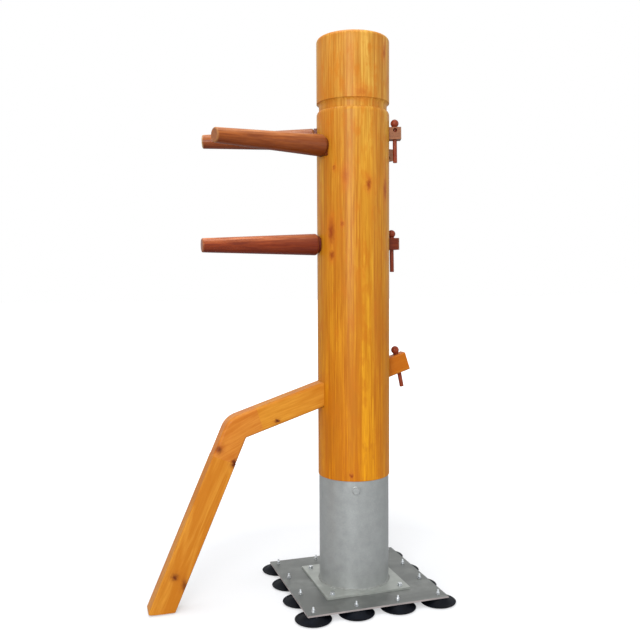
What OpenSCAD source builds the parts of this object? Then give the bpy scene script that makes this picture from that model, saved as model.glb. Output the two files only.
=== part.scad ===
// Wooden wing dummy: a turned trunk in a steel sleeve on a plate with suction
// cups, three tapered arms and one bent leg, each locked by a ball-headed peg.
// Origin: on the floor under the trunk's axis. The arms and the leg point to -Y.

/* [Trunk] */
// Diameter of the turned trunk
trunk_d = 224; // [200:1:280]
// Length of the trunk above the sleeve
trunk_len = 1346; // [1300:1:1700]
// Rounding of the top edge
top_round = 12; // [4:1:20]
// Rounding of the trunk's shoulder above the sleeve
foot_round = 3; // [1:0.5:6]
// Length of the turned-down spigot inside the sleeve
spigot_len = 300; // [150:1:310]
// Clearance between the spigot and the sleeve, all round
spigot_play = 1; // [0.5:0.1:2]
// Distance from the top down to the lower edge of the neck groove
neck_from_top = 234; // [200:1:260]
// Height of the quarter round below the groove
neck_bead = 13; // [8:1:20]
// Height of the flat bottom of the groove
neck_flat = 14; // [6:1:24]
// Height of the cove above the groove
neck_cove = 11; // [6:1:18]
// Depth of the neck groove
neck_depth = 7.3; // [4:0.1:12]

/* [Arms] */
// Diameter of an arm at its shoulder
arm_root_d = 66; // [50:0.5:80]
// Diameter of an arm at its tip
arm_tip_d = 42; // [34:0.5:48]
// Rounding of the shoulder edge
arm_root_round = 6; // [2:0.5:10]
// Rounding of the tip edge
arm_tip_round = 4; // [1:0.5:8]
// Diameter of the collar between the shoulder and the trunk
collar_d = 52; // [42:0.5:60]
// Length of that collar
collar_len = 8; // [4:0.5:14]
// Side of the square tenon
tenon = 37; // [30:0.5:46]
// Clearance between a tenon and its mortise, on each side
tenon_play = 0.4; // [0.2:0.05:1]
// Distance of an upper arm's tenon from the arm's own axis
tenon_shift = 12; // [0:0.5:14]
// Wood left between the two upper mortises
tenon_web = 17; // [6:0.5:24]
// How far an arm's tenon stands out behind the trunk
tenon_out = 36; // [32:0.5:70]
// Angle of each upper arm from straight ahead
arm_splay = 18; // [10:0.5:25]
// Slope of the arms, down towards the tips
arm_droop = 0.8; // [0:0.1:3]
// Height of the middle of the upper arms above the sleeve's rim
upper_height = 1030.8; // [980:0.1:1040]
// Height of the middle arm above the sleeve's rim
middle_height = 720.8; // [600:0.1:850]
// Reach of the upper left arm's tip from the trunk's axis
left_reach = 466; // [380:1:560]
// Reach of the upper right arm's tip from the trunk's axis
right_reach = 482; // [380:1:560]
// Reach of the middle arm's tip from the trunk's axis
middle_reach = 473; // [380:1:560]
// Diameter of the cross hole in an upper arm's tenon
cross_hole_d = 13; // [6:0.5:16]
// Distance of the cross hole from the middle of the tenon
cross_hole_shift = 9; // [0:0.5:10]

/* [Leg] */
// Depth of the leg's bar, seen from the side
leg_depth = 74; // [60:0.5:90]
// Thickness of the leg's bar, seen from the front
leg_thick = 60; // [48:0.5:72]
// Rounding of the bar's long edges
leg_edge_round = 9; // [3:0.5:12]
// Slope of the thigh, down towards the knee
leg_slope = 18.1; // [12:0.1:24]
// Height where the thigh's middle line meets the trunk's axis, above the rim
leg_height = 294.2; // [240:0.1:360]
// Distance from the trunk's axis to the knee, along the thigh
thigh_reach = 398; // [360:1:460]
// Lean of the shin from upright
shin_lean = 23.4; // [15:0.1:30]
// Radius of the outside of the knee
knee_round = 66; // [45:1:90]
// Distance from the knee back to the glued joint in the thigh
knee_joint_back = 73; // [60:1:110]
// Distance from the knee down to the glued joint in the shin
knee_joint_down = 100; // [85:1:140]
// Gap between the foot of the leg and the floor
foot_gap = 4; // [2:0.5:15]
// Depth of the leg's tenon
leg_tenon_depth = 58; // [40:0.5:58]
// Thickness of the leg's tenon
leg_tenon_thick = 40; // [30:0.5:44]
// Rounding of the tenon's long edges
leg_tenon_round = 6; // [2:0.5:10]
// Distance from the trunk's axis to the leg's shoulder, along the thigh
leg_seat = 85; // [60:1:100]
// How far the leg's tenon stands out behind the trunk, along its slope
leg_tenon_out = 67.6; // [60:0.1:110]
// Diameter of the dowels in the glued joints
dowel_d = 12; // [8:0.5:16]
// Length of a dowel
dowel_len = 60; // [40:1:80]
// Distance of the dowels from the middle of the bar
dowel_spread = 16; // [12:0.5:22]

/* [Pegs] */
// Diameter of the ball head
ball_d = 25; // [18:0.5:32]
// Diameter of the shaft
peg_d = 13; // [8:0.5:14]
// Length of the shaft below its collar
peg_len = 107; // [90:1:140]
// Diameter of the collar under the ball
peg_collar_d = 17; // [15:0.5:20]
// Height of that collar
peg_collar_h = 2.5; // [1:0.5:5]
// Clearance between a shaft and its hole, all round
peg_play = 0.25; // [0.1:0.05:0.5]
// Distance of the arm pegs from the back of the trunk
peg_out = 17.5; // [16:0.5:24]
// Distance of the leg's peg from the back of the trunk, along the slope
leg_peg_out = 43.2; // [36:0.1:50]
// Tilt of the leg's peg from square to its tenon
leg_peg_tilt = 6.8; // [0:0.1:10]

/* [Sleeve] */
// Outside diameter of the sleeve pipe
pipe_d = 219; // [190:1:240]
// Wall of the sleeve pipe
pipe_wall = 6; // [3:0.5:10]
// Length of the sleeve pipe
pipe_len = 335; // [320:0.5:480]
// Side of the flange plate
flange_side = 269; // [250:1:300]
// Thickness of the flange plate
flange_t = 5.5; // [4:0.5:10]
// Distance of the flange bolts from the middle, in X and in Y
flange_bolt_at = 110.5; // [105:0.5:118]
// Leg of the weld bead
weld_leg = 5; // [3:0.5:8]
// Distance of the trunk screws below the sleeve's rim
screw_below = 27; // [22:1:60]
// Diameter of the trunk screws
screw_d = 14; // [8:1:20]
// Depth of the trunk screws in the wood
screw_bite = 45; // [25:1:60]
// Size of their hexagon heads, across the flats
screw_head_flats = 21; // [13:1:30]
// Height of their heads
screw_head_h = 9; // [5:0.5:13]
// Direction of the first trunk screw, from +X
screw_turn = -16.5; // [-60:0.5:60]

/* [Base] */
// Side of the base plate
plate_side = 442; // [430:1:560]
// Thickness of the base plate
plate_t = 5; // [4:0.5:10]
// Distance from the middle to the outer rows of suction cups
cup_row_at = 197.5; // [180:0.5:220]
// Diameter of a suction cup's lip
cup_d = 108; // [80:1:116]
// Height of a suction cup, floor to plate
cup_h = 20; // [16:0.5:40]
// Diameter of the flat top of a cup
cup_hub_d = 48; // [36:1:60]
// Width of the lip's flat ring that lies on the floor
cup_lip = 8; // [4:0.5:12]
// Rise of the lip's outer edge above the floor
cup_rise = 4; // [2:0.5:6]
// Height of the hollow under a cup
cup_hollow = 5; // [2:0.5:6]
// Diameter of the cup studs
stud_d = 6; // [5:1:10]
// How far the studs stand above the plate
stud_out = 14.5; // [9:0.5:24]
// Diameter of the stud's head inside the rubber
stud_head_d = 24; // [16:0.5:30]
// Thickness of that head
stud_head_t = 3; // [2:0.5:4]

// Size of a stud's nut across the flats
stud_nut_flats = 10; // [9:0.5:16]
// Height of a stud's nut
stud_nut_h = 5; // [4:0.5:8]
// Diameter of a stud's washer
stud_washer_d = 12; // [11:0.5:20]
// Thickness of a stud's washer
stud_washer_t = 1.2; // [0.8:0.1:2]

/* [Flange bolts] */
// Diameter of the flange bolts
bolt_d = 8; // [6:1:10]
// Size of their nuts and heads across the flats
nut_flats = 13; // [11:1:17]
// Height of their nuts
nut_h = 6.5; // [5:0.5:8]
// Height of a flange bolt's head
bolt_head_h = 5.5; // [4:0.5:7]
// Diameter of their washers
washer_d = 16; // [12:1:22]
// Thickness of their washers
washer_t = 1.6; // [1:0.1:2.5]
// Clearance of bolts and studs in the plates, all round
bolt_play = 0.5; // [0.2:0.1:1]

/* [Hidden] */
$fn = 64;

// Running distance between faces that only just clear each other
hair = 0.1;
// Extra length of a cut past the face it opens
past = 1;
trunk_r = trunk_d / 2;
pipe_r = pipe_d / 2;
plate_top = cup_h + plate_t;
flange_top = plate_top + flange_t;
rim_z = flange_top + pipe_len;
top_z = rim_z + trunk_len;
spigot_r = pipe_r - pipe_wall - spigot_play;
neck_low = top_z - neck_from_top;
neck_r = trunk_r - neck_depth;
shoulder_at = trunk_r + collar_len;
// The arms droop, so the edge of a collar's flat face needs this much room
collar_gap = hair + collar_d / 2 * tan(arm_droop);
peg_hole_d = peg_d + 2 * peg_play;
// The two upper tenons lie one above the other, a web apart
upper_tenon_rise = (tenon + tenon_web) / 2;
upper_arm_rise = upper_tenon_rise - tenon_shift;
// Where the leg's sloping middle line leaves the back of the trunk
leg_back = trunk_r / cos(leg_slope);
leg_tenon_end = leg_back + leg_tenon_out;
leg_peg_at = leg_back + leg_peg_out;
// A tilted collar needs this much room above the tenon's flat top
leg_peg_gap = hair + peg_collar_d / 2 * tan(leg_peg_tilt);
knee_z = rim_z + leg_height - thigh_reach * sin(leg_slope);
knee_turn = 90 - shin_lean - leg_slope;
shin_len = (knee_z - foot_gap) / cos(shin_lean);
// Underside of a cup stud's head inside the rubber
stud_foot = cup_hollow + (cup_h - cup_hollow - stud_head_t) / 2;
// Step between the cups: four along each side
cup_step = 2 * cup_row_at / 3;
CUP_SPOTS = [for (i = [0:3]) for (j = [0:3]) if (i == 0 || i == 3 || j == 0 || j == 3)
    [-cup_row_at + i * cup_step, -cup_row_at + j * cup_step]];
FLANGE_SPOTS = [for (i = [-1, 1]) for (j = [-1, 1]) [i, j] * flange_bolt_at];

// Points of a quarter turn about a centre, from one angle to another
function arc(cx, cy, rx, ry, from, to, steps = 6) =
    [for (i = [0:steps]) let (a = from + (to - from) * i / steps)
        [cx + rx * cos(a), cy + ry * sin(a)]];

// Frames: local +X points outwards along the arm or the leg
module arm_frame(turn, height) {
    translate([0, 0, rim_z + height]) rotate([0, 0, turn - 90]) rotate([0, arm_droop, 0]) children();
}
module leg_frame() {
    translate([0, 0, rim_z + leg_height]) rotate([0, 0, -90]) rotate([0, leg_slope, 0]) children();
}
module knee_frame() {
    leg_frame() translate([thigh_reach, 0, 0]) rotate([0, knee_turn, 0]) children();
}
module left_arm_frame() { arm_frame(-arm_splay, upper_height + upper_arm_rise) children(); }
module right_arm_frame() { arm_frame(arm_splay, upper_height - upper_arm_rise) children(); }
module middle_arm_frame() { arm_frame(0, middle_height) children(); }

module screw_spots() {
    for (k = [0:2]) rotate([0, 0, screw_turn + 120 * k])
        translate([0, 0, rim_z - screw_below]) rotate([0, 90, 0]) children();
}
module hexagon(flats, h) { cylinder(d = flats / cos(30), h = h, $fn = 6); }

// A square mortise right through the trunk for an arm's tenon
module tenon_mortise(shift) {
    side = tenon + 2 * tenon_play;
    translate([0, 0, shift]) cube([2 * trunk_d, side, side], center = true);
}

// Section of a bar with rounded long edges, drawn in the local YZ plane
module rounded_section(depth, thick, r) {
    square([depth - 2 * r, thick], center = true);
    square([depth, thick - 2 * r], center = true);
    for (i = [-1, 1]) for (j = [-1, 1])
        translate([i * (depth / 2 - r), j * (thick / 2 - r)]) circle(r);
}
// A bar along local X from one end to the other, its depth along local Z
module bar(from, to, depth, thick, r) {
    translate([from, 0, 0]) rotate([0, 90, 0])
        linear_extrude(to - from) rounded_section(depth, thick, r);
}

module trunk() {
    color("#d99b3c") difference() {
        rotate_extrude() polygon(concat(
            [[0, rim_z - spigot_len], [spigot_r - foot_round, rim_z - spigot_len],
             [spigot_r, rim_z - spigot_len + foot_round], [spigot_r, rim_z]],
            arc(trunk_r - foot_round, rim_z + foot_round, foot_round, foot_round, -90, 0, 4),
            arc(neck_r, neck_low, neck_depth, neck_bead, 0, 90),
            arc(trunk_r, neck_low + neck_bead + neck_flat, neck_depth, neck_cove, 180, 90),
            arc(trunk_r - top_round, top_z - top_round, top_round, top_round, 0, 90),
            [[0, top_z]]));
        left_arm_frame() tenon_mortise(tenon_shift);
        right_arm_frame() tenon_mortise(-tenon_shift);
        middle_arm_frame() tenon_mortise(0);
        leg_frame() cube([2 * trunk_d, leg_tenon_thick + 2 * tenon_play,
                          leg_tenon_depth + 2 * tenon_play], center = true);
        // Housing that takes the whole bar of the leg down to its shoulder
        leg_frame() translate([leg_seat, -leg_thick / 2 - tenon_play, -leg_depth / 2 - tenon_play])
            cube([trunk_d, leg_thick + 2 * tenon_play, leg_depth + 2 * tenon_play]);
        screw_spots() translate([0, 0, pipe_r - pipe_wall - screw_bite - past])
            cylinder(d = screw_d + 2 * hair, h = screw_bite + 2 * past);
    }
}

// Three coach screws that hold the trunk in its sleeve
module trunk_screws() {
    color("#b9bcbe") screw_spots() {
        translate([0, 0, pipe_r + hair]) rotate([0, 0, 30]) hexagon(screw_head_flats, screw_head_h);
        translate([0, 0, pipe_r - pipe_wall - screw_bite])
            cylinder(d = screw_d, h = pipe_wall + screw_bite + hair);
    }
}

// A turned arm with its tenon raised (+) or lowered (-) by the shift
module arm(reach, shift, cross_hole) {
    root_r = arm_root_d / 2;
    tip_r = arm_tip_d / 2;
    difference() {
        union() {
            rotate([0, 90, 0]) rotate_extrude() polygon(concat(
                [[0, trunk_r + collar_gap], [collar_d / 2, trunk_r + collar_gap],
                 [collar_d / 2, shoulder_at]],
                arc(root_r - arm_root_round, shoulder_at + arm_root_round,
                    arm_root_round, arm_root_round, -90, 0, 5),
                arc(tip_r - arm_tip_round, reach - arm_tip_round,
                    arm_tip_round, arm_tip_round, 0, 90, 5),
                [[0, reach]]));
            translate([-trunk_r - tenon_out, -tenon / 2, shift - tenon / 2])
                cube([2 * trunk_r + tenon_out + collar_len, tenon, tenon]);
        }
        translate([-trunk_r - peg_out, 0, shift]) cylinder(d = peg_hole_d, h = 2 * tenon, center = true);
        if (cross_hole != 0)
            translate([-trunk_r - peg_out, 0, shift + cross_hole])
                rotate([90, 0, 0]) cylinder(d = cross_hole_d, h = 2 * tenon, center = true);
    }
}
module arm_upper_left() {
    color("#a8582a") left_arm_frame() arm(left_reach, tenon_shift, cross_hole_shift);
}
module arm_upper_right() {
    color("#a8582a") right_arm_frame() arm(right_reach, -tenon_shift, -cross_hole_shift);
}
module arm_middle() {
    color("#8c3a1c") middle_arm_frame() arm(middle_reach, 0, 0);
}

// Holes for the dowels of a glued joint that lies across the local X axis
module dowel_holes() {
    for (s = [-1, 1]) translate([0, 0, s * dowel_spread]) rotate([0, 90, 0])
        cylinder(d = dowel_d + 2 * hair, h = dowel_len + 2 * past, center = true);
}
module dowel_pair() {
    for (s = [-1, 1]) translate([0, 0, s * dowel_spread]) rotate([0, 90, 0])
        cylinder(d = dowel_d, h = dowel_len, center = true);
}
module thigh_joint_frame() { leg_frame() translate([thigh_reach - knee_joint_back, 0, 0]) children(); }
module shin_joint_frame() { knee_frame() translate([knee_joint_down, 0, 0]) children(); }

// Peg hole across the leg's tenon, tilted towards the trunk at its foot
module leg_peg_frame() {
    leg_frame() translate([-leg_peg_at, 0, leg_tenon_depth / 2]) rotate([0, -leg_peg_tilt, 0]) children();
}

module leg_thigh() {
    color("#d9963a") difference() {
        union() {
            leg_frame() bar(leg_seat + hair, thigh_reach - knee_joint_back,
                            leg_depth, leg_thick, leg_edge_round);
            leg_frame() bar(-leg_tenon_end, leg_seat + past,
                            leg_tenon_depth, leg_tenon_thick, leg_tenon_round);
        }
        leg_peg_frame() cylinder(d = peg_hole_d, h = 3 * leg_tenon_depth, center = true);
        thigh_joint_frame() dowel_holes();
    }
}

// Knee block: one bent bar, cut square at both glued joints
module leg_knee() {
    r = leg_edge_round;
    half = leg_depth / 2;
    // The outer bend is rounded, the inner corner stays sharp
    tangent = (half - knee_round) * tan(knee_turn / 2);
    start = thigh_reach - knee_joint_back - 2 * r;
    down = knee_joint_down + 2 * r;
    middle = [thigh_reach, 0];
    along = [cos(knee_turn), -sin(knee_turn)];
    out = [sin(knee_turn), cos(knee_turn)];
    color("#d9963a") difference() {
        leg_frame() minkowski() {
            rotate([90, 0, 0]) linear_extrude(leg_thick - 2 * r, center = true) offset(delta = -r)
                polygon(concat([[start, -half], [start, half]],
                    arc(thigh_reach + tangent, half - knee_round, knee_round, knee_round,
                        90, 90 - knee_turn, 10),
                    [middle + down * along + half * out, middle + down * along - half * out,
                     [thigh_reach - half * tan(knee_turn / 2), -half]]));
            sphere(r, $fn = 32);
        }
        leg_frame() translate([thigh_reach - knee_joint_back - 2 * leg_depth, -leg_thick, -leg_depth])
            cube([2 * leg_depth, 2 * leg_thick, 2 * leg_depth]);
        knee_frame() translate([knee_joint_down, -leg_thick, -leg_depth])
            cube([2 * leg_depth, 2 * leg_thick, 2 * leg_depth]);
        thigh_joint_frame() dowel_holes();
        shin_joint_frame() dowel_holes();
    }
}

module leg_shin() {
    color("#d9963a") difference() {
        knee_frame() bar(knee_joint_down, shin_len + leg_depth, leg_depth, leg_thick, leg_edge_round);
        shin_joint_frame() dowel_holes();
        translate([-leg_depth, -3 * thigh_reach, foot_gap - 2 * leg_depth])
            cube([2 * leg_depth, 3 * thigh_reach, 2 * leg_depth]);
    }
}

module leg_dowels() {
    color("#e0c090") {
        thigh_joint_frame() dowel_pair();
        shin_joint_frame() dowel_pair();
    }
}

// A ball-headed peg, its collar's underside at the local origin
module peg() {
    ball_r = ball_d / 2;
    ball_z = peg_collar_h + sqrt(pow(ball_r, 2) - pow(peg_d / 2, 2));
    translate([0, 0, ball_z]) sphere(d = ball_d);
    cylinder(d = peg_d, h = ball_z);
    cylinder(d = peg_collar_d, h = peg_collar_h);
    translate([0, 0, -peg_len + past]) cylinder(d = peg_d, h = peg_len);
    translate([0, 0, -peg_len]) cylinder(d1 = peg_d - 2 * past, d2 = peg_d, h = past);
}
module arm_peg(shift) {
    translate([-trunk_r - peg_out, 0, shift + tenon / 2 + hair]) peg();
}
module peg_upper_left() { color("#6b2418") left_arm_frame() arm_peg(tenon_shift); }
module peg_upper_right() { color("#6b2418") right_arm_frame() arm_peg(-tenon_shift); }
module peg_middle() { color("#6b2418") middle_arm_frame() arm_peg(0); }
module peg_leg() { color("#6b2418") leg_peg_frame() translate([0, 0, leg_peg_gap]) peg(); }

module sleeve_pipe() {
    color("#9a9c98") difference() {
        translate([0, 0, flange_top]) cylinder(d = pipe_d, h = pipe_len);
        translate([0, 0, flange_top - past]) cylinder(r = pipe_r - pipe_wall, h = pipe_len + 2 * past);
        screw_spots() translate([0, 0, pipe_r - 2 * pipe_wall])
            cylinder(d = screw_d + 2 * bolt_play, h = 3 * pipe_wall);
    }
}

module pipe_flange() {
    color("#9a9c98") difference() {
        translate([0, 0, plate_top + flange_t / 2])
            cube([flange_side, flange_side, flange_t], center = true);
        for (p = FLANGE_SPOTS) translate([p[0], p[1], plate_top - past])
            cylinder(d = bolt_d + 2 * bolt_play, h = flange_t + 2 * past);
    }
}

module pipe_weld() {
    color("#8f918d") translate([0, 0, flange_top]) rotate_extrude()
        polygon([[pipe_r, 0], [pipe_r + weld_leg, 0], [pipe_r, weld_leg]]);
}

module base_plate() {
    color("#85877f") difference() {
        translate([0, 0, cup_h + plate_t / 2]) cube([plate_side, plate_side, plate_t], center = true);
        for (p = CUP_SPOTS) translate([p[0], p[1], cup_h - past])
            cylinder(d = stud_d + 2 * bolt_play, h = plate_t + 2 * past);
        for (p = FLANGE_SPOTS) translate([p[0], p[1], cup_h - past])
            cylinder(d = bolt_d + 2 * bolt_play, h = plate_t + 2 * past);
    }
}

module washer(hole, rim, h) {
    difference() {
        cylinder(d = rim, h = h);
        translate([0, 0, -past]) cylinder(d = hole + 2 * hair, h = h + 2 * past);
    }
}
module nut(hole, flats, h) {
    difference() {
        hexagon(flats, h);
        translate([0, 0, -past]) cylinder(d = hole + 2 * hair, h = h + 2 * past);
    }
}

// Hex bolts through the flange and the base plate, heads on top
module flange_bolts() {
    shank = flange_t + plate_t + washer_t + nut_h + past;
    color("#c4c7c9") for (p = FLANGE_SPOTS) translate([p[0], p[1], flange_top + washer_t]) {
        hexagon(nut_flats, bolt_head_h);
        translate([0, 0, -shank]) cylinder(d = bolt_d, h = shank);
    }
}
module flange_washers() {
    color("#c4c7c9") for (p = FLANGE_SPOTS)
        translate([p[0], p[1], flange_top]) washer(bolt_d, washer_d, washer_t);
}
module flange_nuts() {
    color("#c4c7c9") for (p = FLANGE_SPOTS)
        translate([p[0], p[1], cup_h - nut_h]) nut(bolt_d, nut_flats, nut_h);
}

// Rubber cup with a hollow underneath and a moulded-in stud head
module suction_cup(k) {
    lip_r = cup_d / 2;
    hub_r = cup_hub_d / 2;
    // Top of the lip's outer edge
    edge_z = cup_rise + 2;
    color("#1a1d26") translate([CUP_SPOTS[k][0], CUP_SPOTS[k][1], 0]) difference() {
        rotate_extrude() polygon(concat(
            [[0, cup_hollow], [lip_r - 2 * cup_lip, 0], [lip_r - cup_lip, 0], [lip_r, cup_rise]],
            arc(hub_r, edge_z, lip_r - hub_r, cup_h - edge_z, 0, 90, 8),
            [[0, cup_h]]));
        translate([0, 0, stud_foot]) cylinder(d = stud_head_d + 2 * hair, h = stud_head_t + hair);
        translate([0, 0, stud_foot]) cylinder(d = stud_d + 2 * hair, h = cup_h);
    }
}
module cup_studs() {
    color("#c4c7c9") for (p = CUP_SPOTS) translate([p[0], p[1], stud_foot]) {
        cylinder(d = stud_head_d, h = stud_head_t);
        cylinder(d = stud_d, h = plate_top + stud_out - stud_foot);
    }
}
module cup_washers() {
    color("#c4c7c9") for (p = CUP_SPOTS)
        translate([p[0], p[1], plate_top]) washer(stud_d, stud_washer_d, stud_washer_t);
}
module cup_nuts() {
    color("#c4c7c9") for (p = CUP_SPOTS)
        translate([p[0], p[1], plate_top + stud_washer_t]) nut(stud_d, stud_nut_flats, stud_nut_h);
}

trunk();
trunk_screws();
arm_upper_left();
arm_upper_right();
arm_middle();
leg_thigh();
leg_knee();
leg_shin();
leg_dowels();
peg_upper_left();
peg_upper_right();
peg_middle();
peg_leg();
sleeve_pipe();
pipe_flange();
pipe_weld();
base_plate();
flange_bolts();
flange_washers();
flange_nuts();
suction_cup(0);  // suction_cup_01
suction_cup(1);  // suction_cup_02
suction_cup(2);  // suction_cup_03
suction_cup(3);  // suction_cup_04
suction_cup(4);  // suction_cup_05
suction_cup(5);  // suction_cup_06
suction_cup(6);  // suction_cup_07
suction_cup(7);  // suction_cup_08
suction_cup(8);  // suction_cup_09
suction_cup(9);  // suction_cup_10
suction_cup(10);  // suction_cup_11
suction_cup(11);  // suction_cup_12
cup_studs();
cup_washers();
cup_nuts();
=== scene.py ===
"""Free-standing wooden dummy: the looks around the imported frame. Metres, +Z up, arms and leg towards -Y."""
import math
import random

import bmesh
import bpy
from mathutils import Matrix, Vector


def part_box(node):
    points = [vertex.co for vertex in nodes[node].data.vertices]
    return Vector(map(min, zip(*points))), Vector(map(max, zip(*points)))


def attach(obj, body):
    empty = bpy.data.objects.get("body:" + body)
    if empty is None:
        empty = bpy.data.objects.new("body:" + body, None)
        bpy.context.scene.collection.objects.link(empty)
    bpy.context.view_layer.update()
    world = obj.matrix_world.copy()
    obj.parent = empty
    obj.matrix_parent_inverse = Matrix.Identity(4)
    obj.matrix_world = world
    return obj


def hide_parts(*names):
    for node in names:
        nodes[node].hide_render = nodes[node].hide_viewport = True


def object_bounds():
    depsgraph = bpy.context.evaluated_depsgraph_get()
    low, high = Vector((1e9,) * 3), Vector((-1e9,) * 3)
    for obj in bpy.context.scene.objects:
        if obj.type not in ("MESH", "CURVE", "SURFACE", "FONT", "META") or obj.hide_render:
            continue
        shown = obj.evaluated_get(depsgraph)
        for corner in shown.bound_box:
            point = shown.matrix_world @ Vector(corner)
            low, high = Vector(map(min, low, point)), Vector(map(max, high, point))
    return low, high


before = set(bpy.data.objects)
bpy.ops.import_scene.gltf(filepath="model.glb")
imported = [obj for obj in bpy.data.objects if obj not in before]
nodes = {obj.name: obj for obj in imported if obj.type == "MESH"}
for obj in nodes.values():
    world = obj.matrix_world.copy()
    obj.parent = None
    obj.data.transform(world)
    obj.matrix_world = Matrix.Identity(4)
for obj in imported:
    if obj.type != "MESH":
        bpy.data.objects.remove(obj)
cad_low, cad_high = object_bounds()
scene = bpy.context.scene


# ---- Camera: stands a little to the right of the arms' side, at waist height, looking slightly down
CAMERA_AT = (2.2484, -0.8285, 0.9837)
CAMERA_TURN = math.radians(69.7726 + 2.5005)  # to the left from looking along +Y
CAMERA_DOWN = math.radians(3.1825)
CAMERA_ROLL = math.radians(-0.3014)
LENS_MM = 43.025

camera_data = bpy.data.cameras.new("camera")
camera_data.lens = LENS_MM
camera_data.sensor_width = 36
camera = bpy.data.objects.new("camera", camera_data)
scene.collection.objects.link(camera)
camera.matrix_world = (
    Matrix.Translation(CAMERA_AT)
    @ Matrix.Rotation(CAMERA_TURN, 4, "Z")
    @ Matrix.Rotation(math.pi / 2 - CAMERA_DOWN, 4, "X")
    @ Matrix.Rotation(CAMERA_ROLL, 4, "Z")
)
scene.camera = camera
scene.view_settings.view_transform = "Standard"


# ---- Floor and light: a white sweep and soft lamps, the largest from the front left and from above
def linear(hex_colour):
    """An sRGB hex colour as the linear values that shaders take."""
    parts = [int(hex_colour[i:i + 2], 16) / 255 for i in (1, 3, 5)]
    return [p / 12.92 if p <= 0.04045 else ((p + 0.055) / 1.055) ** 2.4 for p in parts] + [1.0]


def add(tree, kind, links=None, **settings):
    """A node of that kind. links: input name or number to output socket or value; the rest are its settings."""
    node = tree.nodes.new(kind)
    for name, value in settings.items():
        setattr(node, name, value)
    for key, value in (links or {}).items():
        socket = node.inputs[key]
        if isinstance(value, bpy.types.NodeSocket):
            tree.links.new(value, socket)
        else:
            socket.default_value = value
    return node


FLOOR_GLOW = 0.44     # what the camera sees of the floor beyond the lamps' light
WORLD_LIGHT = 0.6

floor_paper = bpy.data.materials.new("white_studio_paper")
floor_paper.use_nodes = True
tree = floor_paper.node_tree
tree.nodes.clear()
paper = add(tree, "ShaderNodeBsdfDiffuse", {"Color": linear("#bfc1c4")})
rays = add(tree, "ShaderNodeLightPath")
# Away from the object, where the lamps fall off, the paper glows up to plain white
spot_at = add(tree, "ShaderNodeTexCoord").outputs["Object"]
far = add(tree, "ShaderNodeVectorMath", {0: spot_at}, operation="LENGTH").outputs["Value"]
strength = add(tree, "ShaderNodeMapRange", {"Value": far, "From Min": 0.6, "From Max": 2.2,
                                            "To Min": FLOOR_GLOW, "To Max": 1.0}).outputs[0]
seen = add(tree, "ShaderNodeMath", {0: rays.outputs["Is Camera Ray"], 1: strength}, operation="MULTIPLY")
glow = add(tree, "ShaderNodeEmission", {"Color": (1, 1, 1, 1), "Strength": seen.outputs[0]})
both = add(tree, "ShaderNodeAddShader", {0: paper.outputs[0], 1: glow.outputs[0]})
add(tree, "ShaderNodeOutputMaterial", {"Surface": both.outputs[0]})

floor_mesh = bpy.data.meshes.new("floor")
FLOOR_HALF = 30.0
floor_mesh.from_pydata([(-FLOOR_HALF, -FLOOR_HALF, 0), (FLOOR_HALF, -FLOOR_HALF, 0),
                        (FLOOR_HALF, FLOOR_HALF, 0), (-FLOOR_HALF, FLOOR_HALF, 0)], [], [(0, 1, 2, 3)])
floor = bpy.data.objects.new("floor", floor_mesh)
floor_mesh.materials.append(floor_paper)
scene.collection.objects.link(floor)

world = bpy.data.worlds.new("white_studio")
scene.world = world
world.use_nodes = True
tree = world.node_tree
tree.nodes.clear()
rays = add(tree, "ShaderNodeLightPath")
direct = add(tree, "ShaderNodeMath", {0: rays.outputs["Is Camera Ray"], 1: rays.outputs["Is Glossy Ray"]},
             operation="MAXIMUM")
direct = add(tree, "ShaderNodeMath", {0: direct.outputs[0], 1: rays.outputs["Is Transmission Ray"]},
             operation="MAXIMUM")
level = add(tree, "ShaderNodeMapRange", {"Value": direct.outputs[0], "To Min": WORLD_LIGHT, "To Max": 1.0})
sky = add(tree, "ShaderNodeBackground", {"Color": (1, 1, 1, 1), "Strength": level.outputs[0]})
add(tree, "ShaderNodeOutputWorld", {"Surface": sky.outputs[0]})


def lamp(name, at, aim, width, height, watts):
    data = bpy.data.lights.new(name, "AREA")
    data.shape = "RECTANGLE"
    data.size, data.size_y, data.energy = width, height, watts
    made = bpy.data.objects.new(name, data)
    made.location = at
    made.rotation_euler = (Vector(aim) - Vector(at)).to_track_quat("-Z", "Y").to_euler()
    scene.collection.objects.link(made)


lamp("key_softbox", (3.0, -1.7, 1.7), (0, 0, 0.75), 1.4, 2.2, 86)
lamp("top_softbox", (0.2, -0.4, 3.6), (0, 0, 0.6), 2.0, 2.0, 54)
lamp("fill_softbox", (2.0, 2.6, 1.3), (0, 0, 0.8), 1.4, 2.2, 11)


# ---- Trunk: pine staves glued side by side, turned to one cylinder with a neck groove, clear lacquer.
# The grain runs up each stave, every stave has its own tone, and the top shows their end grain.
STAVES = 17                 # about 41 mm of the girth each
GRAIN_MM = 3.2              # width of a growth ring's stripe on a stave
END_RINGS = 1000 * math.pi / 10 / 9         # growth rings 9 mm apart on the sawn end, coarse enough to show
TRUNK_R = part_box("sleeve_pipe")[1].x + 0.0025
TRUNK_TOP = cad_high.z


def spot(tree, place, at, size):
    """1 in the middle of an egg-shaped spot and 0 at its rim."""
    away = add(tree, "ShaderNodeVectorMath", {0: place, 1: at}, operation="SUBTRACT")
    away = add(tree, "ShaderNodeVectorMath", {0: away.outputs[0], 1: [1 / s for s in size]}, operation="MULTIPLY")
    away = add(tree, "ShaderNodeVectorMath", {0: away.outputs[0]}, operation="LENGTH")
    return add(tree, "ShaderNodeMapRange", {"Value": away.outputs["Value"], "From Min": 1.0, "From Max": 0.0},
               interpolation_type="SMOOTHSTEP").outputs[0]


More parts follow.
